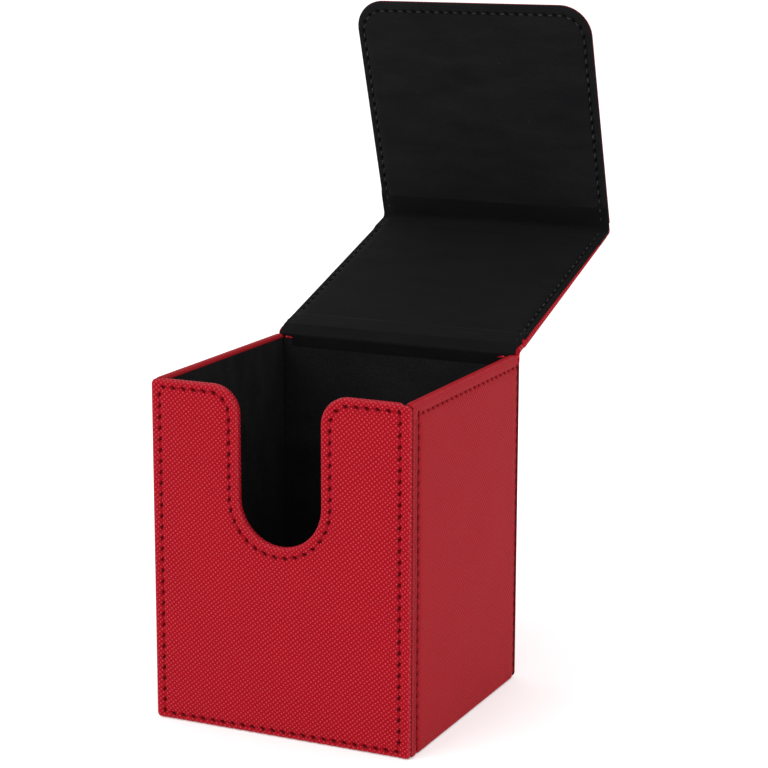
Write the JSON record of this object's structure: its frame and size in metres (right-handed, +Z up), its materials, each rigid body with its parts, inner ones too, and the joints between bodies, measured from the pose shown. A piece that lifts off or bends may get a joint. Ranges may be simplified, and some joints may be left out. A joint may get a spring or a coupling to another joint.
{
  "type": "card deck box",
  "caption": "Leatherette-covered box for sleeved trading cards, open at the top, with a thumb notch, a hinged lid and a magnetic front flap.",
  "frame": {"origin": "middle of the underside of the base", "axes": "+X across the front to the right as one faces it, -Y out of the front wall with the thumb notch, +Z up; the lid is hinged along X at the rear"},
  "size_m": [0.0804, 0.1544, 0.1985],
  "materials": {
    "red_leatherette": "matte, fine woven emboss",
    "black_microfibre": "matte brushed nap",
    "greyboard": "plain grey paperboard",
    "magnet": "nickel plated",
    "red_thread": "satin twisted thread"
  },
  "bodies": {
    "box": {"floor_cover": "red_leatherette", "floor_board": "greyboard", "floor_lining": "black_microfibre", "front_cover": "red_leatherette", "front_board": "greyboard", "front_lining": "black_microfibre", "rear_cover": "red_leatherette", "rear_board": "greyboard", "rear_lining": "black_microfibre", "right_cover": "red_leatherette", "right_board": "greyboard", "right_lining": "black_microfibre", "left_cover": "red_leatherette", "left_board": "greyboard", "left_lining": "black_microfibre", "front_magnet_upper_left": "magnet", "front_magnet_upper_right": "magnet", "front_magnet_lower_left": "magnet", "front_magnet_lower_right": "magnet", "hinge_cover": "red_leatherette", "hinge_lining": "black_microfibre", "front_stitching": "red_thread", "rear_stitching": "red_thread", "right_stitching": "red_thread", "left_stitching": "red_thread"},
    "lid": {"lid_cover": "red_leatherette", "lid_board": "greyboard", "lid_lining": "black_microfibre", "crease_cover": "red_leatherette", "crease_lining": "black_microfibre", "lid_stitching_left": "red_thread", "lid_stitching_right": "red_thread"},
    "flap": {"flap_cover": "red_leatherette", "flap_board": "greyboard", "flap_lining": "black_microfibre", "flap_magnet_upper_left": "magnet", "flap_magnet_upper_right": "magnet", "flap_magnet_lower_left": "magnet", "flap_magnet_lower_right": "magnet", "flap_stitching": "red_thread"}
  },
  "joints": [
    {"name": "lid_hinge", "type": "hinge", "parent": "box", "child": "lid", "pos_m": [0, 0.03955, 0.10095], "axis": [1, 0, 0], "range_deg": [-105, 161.8], "deforming": ["hinge_cover", "hinge_lining"]},
    {"name": "flap_hinge", "type": "hinge", "parent": "lid", "child": "flap", "pos_m": [0, 0.1164, 0.12511], "axis": [1, 0, 0], "range_deg": [-90, 0.1], "deforming": ["crease_cover", "crease_lining"]}
  ]
}
